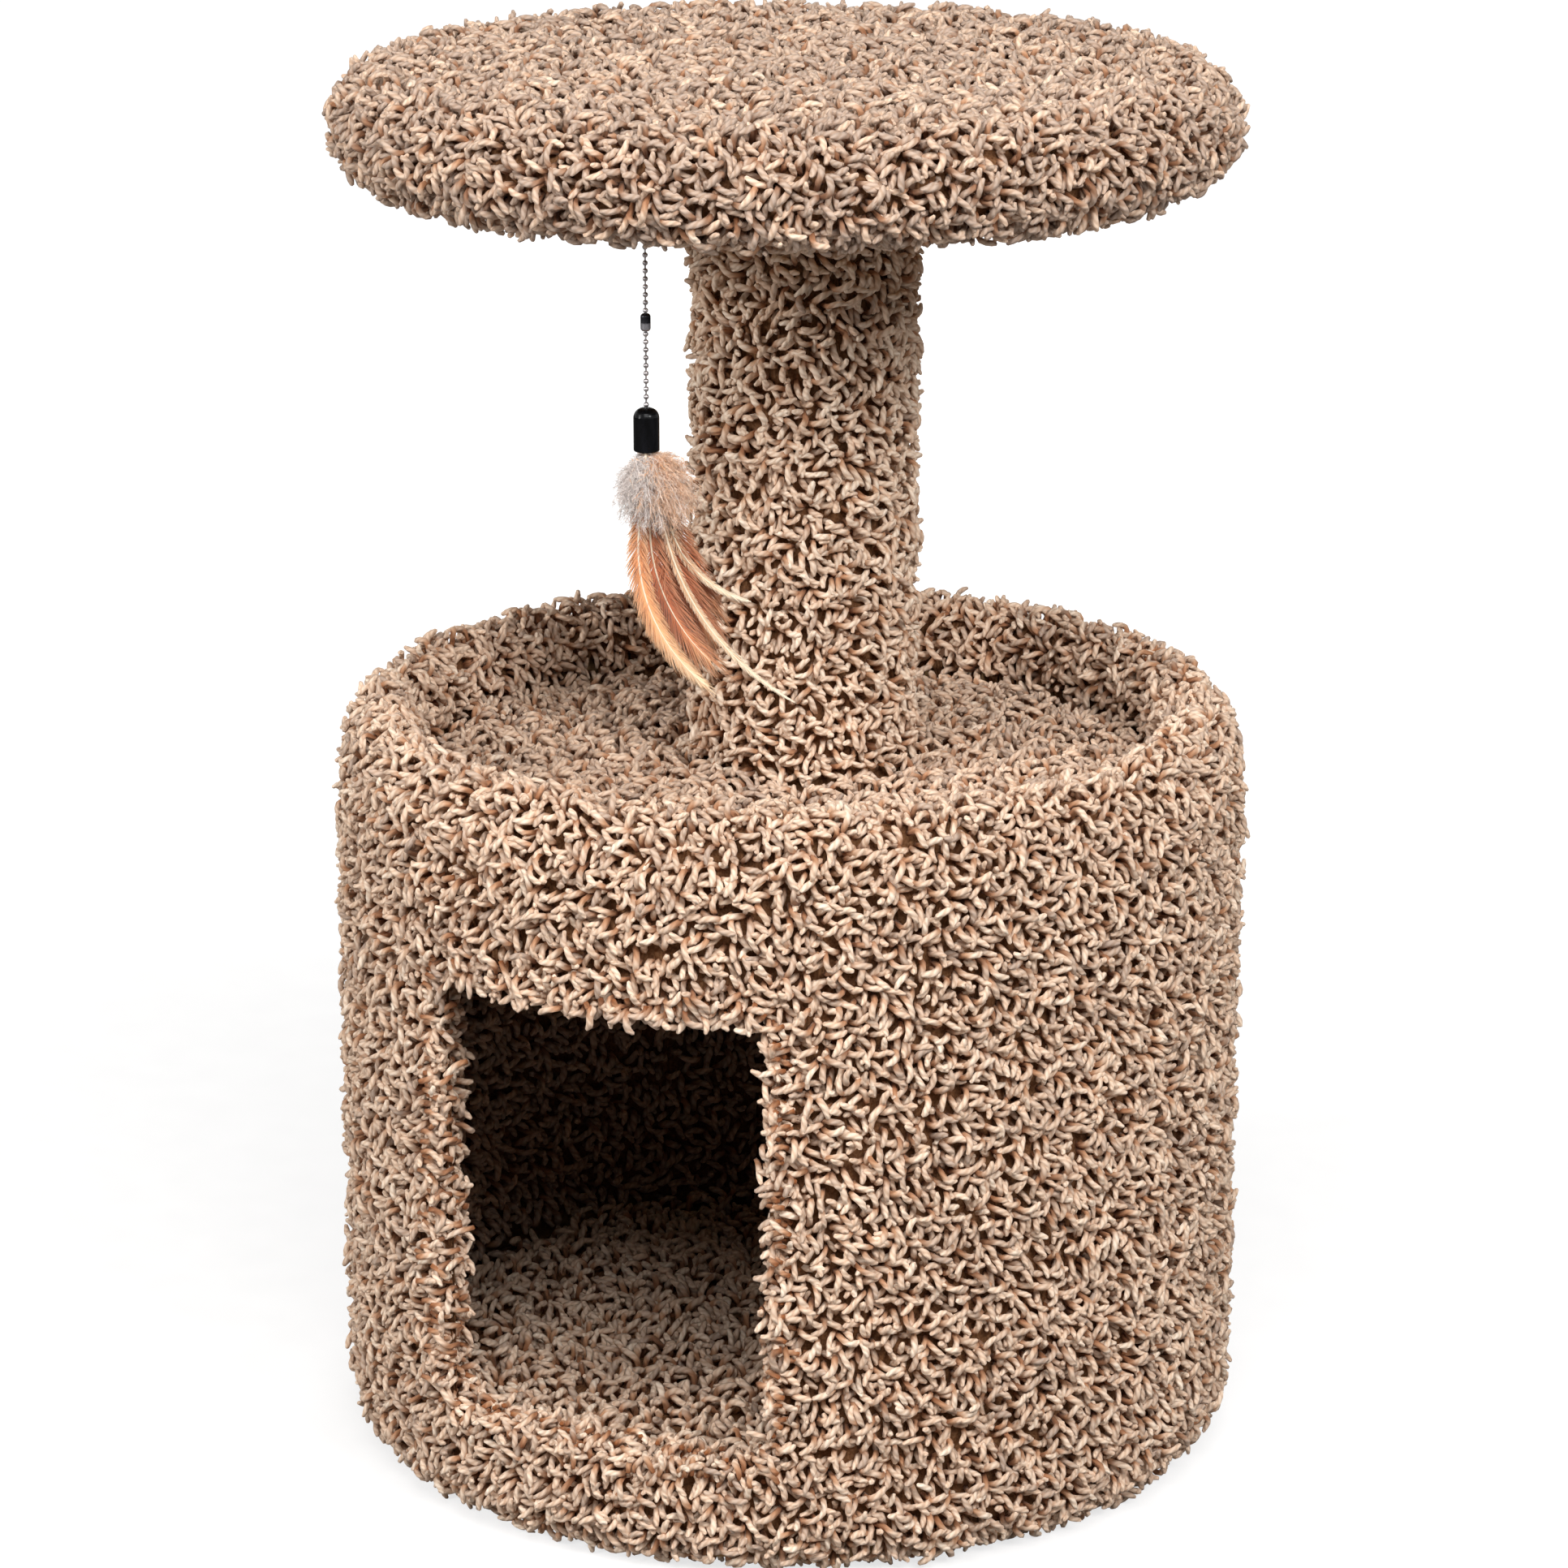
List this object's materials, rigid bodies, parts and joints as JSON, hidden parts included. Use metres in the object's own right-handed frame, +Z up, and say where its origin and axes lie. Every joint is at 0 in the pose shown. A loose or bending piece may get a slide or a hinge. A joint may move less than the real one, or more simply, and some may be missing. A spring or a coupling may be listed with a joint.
{
  "type": "cat condo",
  "caption": "Carpeted cat condo: a barrel den with a doorway and a sunken bed on its roof, a post, a round perch and a feather toy that hangs on a bead chain.",
  "frame": {"origin": "on the floor, under the middle of the barrel", "axes": "+Z up; the doorway faces -Y, +X is to the right of someone who faces the doorway"},
  "size_m": [0.4259, 0.426, 0.66],
  "materials": {
    "shag_carpet": "tan twisted shag pile",
    "plywood": "bare sanded plywood",
    "fibre_tube": "bare kraft fibre tube",
    "steel_wire": "bright wire",
    "zinc_screw": "zinc plated",
    "bead_chain": "nickel plated",
    "chain_connector": "dark plated",
    "black_cap": "gloss black",
    "clear_glue": "hot-melt glue",
    "grey_down": "soft down",
    "rust_feather": "satin feather vane",
    "cream_feather": "satin feather vane"
  },
  "bodies": {
    "root": {"base_board": "plywood", "base_hem": "shag_carpet", "hem_staples": "steel_wire", "barrel_shell": "fibre_tube", "base_screws": "zinc_screw", "deck_board": "plywood", "deck_screws": "zinc_screw", "barrel_carpet": "shag_carpet", "doorway_carpet": "shag_carpet", "floor_carpet": "shag_carpet", "lining_carpet": "shag_carpet", "deck_carpet": "shag_carpet", "post_core": "fibre_tube", "post_foot_plug": "plywood", "post_head_plug": "plywood", "plug_screws": "zinc_screw", "foot_screws": "zinc_screw", "foot_washers": "zinc_screw", "post_carpet": "shag_carpet", "perch_board": "plywood", "head_screws": "zinc_screw", "perch_carpet": "shag_carpet", "perch_staples": "steel_wire", "toy_eye": "steel_wire"},
    "toy_hanger": {"chain_coupling": "bead_chain"},
    "toy_chain": {"bead_chain_upper": "bead_chain", "chain_connector": "chain_connector", "bead_chain_lower": "bead_chain"},
    "feather_toy": {"toy_cap": "black_cap", "quill_plug": "clear_glue", "toy_fluff": "grey_down", "feather_1": "rust_feather", "feather_2": "cream_feather", "feather_3": "rust_feather", "feather_4": "cream_feather", "feather_5": "rust_feather", "feather_6": "cream_feather", "feather_7": "rust_feather"}
  },
  "joints": [
    {"name": "hanger_swing", "type": "hinge", "parent": "root", "child": "toy_hanger", "pos_m": [0, -0.144, 0.6145], "axis": [1, 0, 0], "range_deg": [-40, 8]},
    {"name": "chain_swing", "type": "hinge", "parent": "toy_hanger", "child": "toy_chain", "pos_m": [0, -0.144, 0.6088], "axis": [0, 1, 0], "range_deg": [-50, 50]},
    {"name": "toy_spin", "type": "hinge", "parent": "toy_chain", "child": "feather_toy", "pos_m": [0, -0.144, 0.5248], "axis": [0, 0, 1], "continuous": true}
  ]
}
